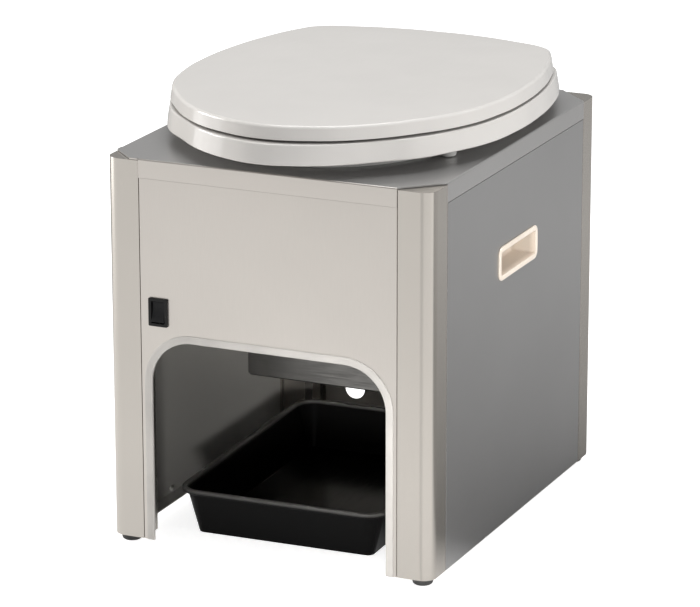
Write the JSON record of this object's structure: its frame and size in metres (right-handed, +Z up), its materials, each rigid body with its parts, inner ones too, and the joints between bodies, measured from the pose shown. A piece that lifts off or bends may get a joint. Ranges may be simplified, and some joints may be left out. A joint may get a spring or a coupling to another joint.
{
  "type": "portable wrapping toilet",
  "caption": "Square metal box on short feet with a hinged seat and lid, a film funnel and heat sealer inside, a switch, side grips and a front arch over a loose catch tray.",
  "frame": {"origin": "on the floor, under the middle of the whole toilet's bounding box", "axes": "+X to the right of someone who faces the front, +Y to the back, +Z up; the front faces -Y"},
  "size_m": [0.369, 0.4672, 0.4615],
  "materials": {
    "bare_aluminium": "bare aluminium",
    "black_gloss": "glossy black",
    "black_rubber": "matt black",
    "black_satin": "satin black",
    "cream_plastic": "satin cream",
    "dark_paint": "satin dark grey",
    "dark_plastic": "satin dark grey",
    "edge_plastic": "satin pale grey",
    "green_board": "satin green",
    "grey_paint": "satin grey paint",
    "heater_tape": "brown non-stick tape",
    "ivory_plastic": "glossy ivory white",
    "light_paint": "satin warm light grey paint",
    "plain_steel": "plain bright steel",
    "red_silicone": "matt brick red",
    "white_plastic": "satin white"
  },
  "bodies": {
    "cabinet": {"arch_edge_trim": "edge_plastic", "back_panel": "light_paint", "bowl_funnel": "white_plastic", "control_board": "green_board", "control_box": "dark_plastic", "corner_post_front_left": "light_paint", "corner_post_front_right": "light_paint", "corner_post_rear_left": "light_paint", "corner_post_rear_right": "light_paint", "drive_belt": "black_rubber", "feed_motor": "dark_paint", "film_cassette": "white_plastic", "film_clamp_ring": "dark_plastic", "fixed_seal_bar": "bare_aluminium", "foot_front_left": "black_rubber", "foot_front_right": "black_rubber", "foot_rear_left": "black_rubber", "foot_rear_right": "black_rubber", "front_panel": "light_paint", "left_grip_cup": "cream_plastic", "left_guide_rod": "plain_steel", "left_hinge_bolt": "plain_steel", "left_hinge_pin": "plain_steel", "left_hinge_post": "bare_aluminium", "left_side_panel": "grey_paint", "power_inlet": "black_satin", "right_grip_cup": "cream_plastic", "right_guide_rod": "plain_steel", "right_hinge_bolt": "plain_steel", "right_hinge_pin": "plain_steel", "right_hinge_post": "bare_aluminium", "right_side_panel": "grey_paint", "seal_cover": "plain_steel", "seal_motor": "dark_paint", "seal_pad": "red_silicone", "seal_rail_front": "plain_steel", "seal_rail_rear": "plain_steel", "seal_rear_plate": "plain_steel", "seal_side_plate_left": "plain_steel", "seal_side_plate_right": "plain_steel", "switch_frame": "black_satin", "top_plate": "grey_paint"},
    "seat": {"seat_ring": "ivory_plastic", "seat_buffer_front_left": "white_plastic", "seat_buffer_front_right": "white_plastic", "seat_buffer_rear_left": "white_plastic", "seat_buffer_rear_right": "white_plastic"},
    "lid": {"seat_lid": "ivory_plastic", "left_lid_buffer": "white_plastic", "right_lid_buffer": "white_plastic"},
    "rocker": {"switch_rocker": "black_gloss"},
    "seal_bar": {"moving_seal_bar": "bare_aluminium", "heater_strip": "heater_tape"},
    "left_screw": {"left_lead_screw": "plain_steel"},
    "right_screw": {"right_lead_screw": "plain_steel"},
    "pulley": {"motor_pulley": "bare_aluminium"},
    "drive_roller": {"feed_roller_drive": "black_rubber"},
    "idler_roller": {"feed_roller_idler": "black_rubber"},
    "tray": {"receiving_tray": "black_gloss"}
  },
  "joints": [
    {"name": "seat_hinge", "type": "hinge", "parent": "cabinet", "child": "seat", "pos_m": [0, 0.22635, 0.4452], "axis": [-1, 0, 0], "range_deg": [0, 92]},
    {"name": "lid_hinge", "type": "hinge", "parent": "seat", "child": "lid", "pos_m": [0, 0.22635, 0.4452], "axis": [-1, 0, 0], "range_deg": [0, 95]},
    {"name": "power_switch", "type": "hinge", "parent": "cabinet", "child": "rocker", "pos_m": [-0.12, -0.20915, 0.2513], "axis": [1, 0, 0], "range_deg": [0, 16]},
    {"name": "drive_spin", "type": "hinge", "parent": "cabinet", "child": "pulley", "pos_m": [0, 0.07235, 0.178], "axis": [0, 1, 0], "range_deg": [0, 2003]},
    {"name": "left_screw_spin", "type": "hinge", "parent": "cabinet", "child": "left_screw", "pos_m": [-0.086, 0.06835, 0.19], "axis": [0, 1, 0], "range_deg": [0, 2003]},
    {"name": "right_screw_spin", "type": "hinge", "parent": "cabinet", "child": "right_screw", "pos_m": [0.086, 0.06835, 0.19], "axis": [0, 1, 0], "range_deg": [0, 2003]},
    {"name": "seal_slide", "type": "slide", "parent": "cabinet", "child": "seal_bar", "axis": [0, -1, 0], "range_m": [0, 0.0445]},
    {"name": "feed_roller_spin", "type": "hinge", "parent": "cabinet", "child": "drive_roller", "pos_m": [0, -0.01515, 0.148], "axis": [1, 0, 0], "continuous": true},
    {"name": "idler_roller_spin", "type": "hinge", "parent": "seal_bar", "child": "idler_roller", "pos_m": [0, 0.04385, 0.148], "axis": [1, 0, 0], "continuous": true},
    {"name": "tray_slide", "type": "slide", "parent": "cabinet", "child": "tray", "axis": [0.0262, -0.9997, 0], "range_m": [0, 0.38]}
  ],
  "couplings": [
    {"joint": "drive_spin", "follows": "seal_slide", "rad_per_m": 785.4},
    {"joint": "left_screw_spin", "follows": "seal_slide", "rad_per_m": 785.4},
    {"joint": "right_screw_spin", "follows": "seal_slide", "rad_per_m": 785.4},
    {"joint": "idler_roller_spin", "follows": "feed_roller_spin", "ratio": -1}
  ]
}
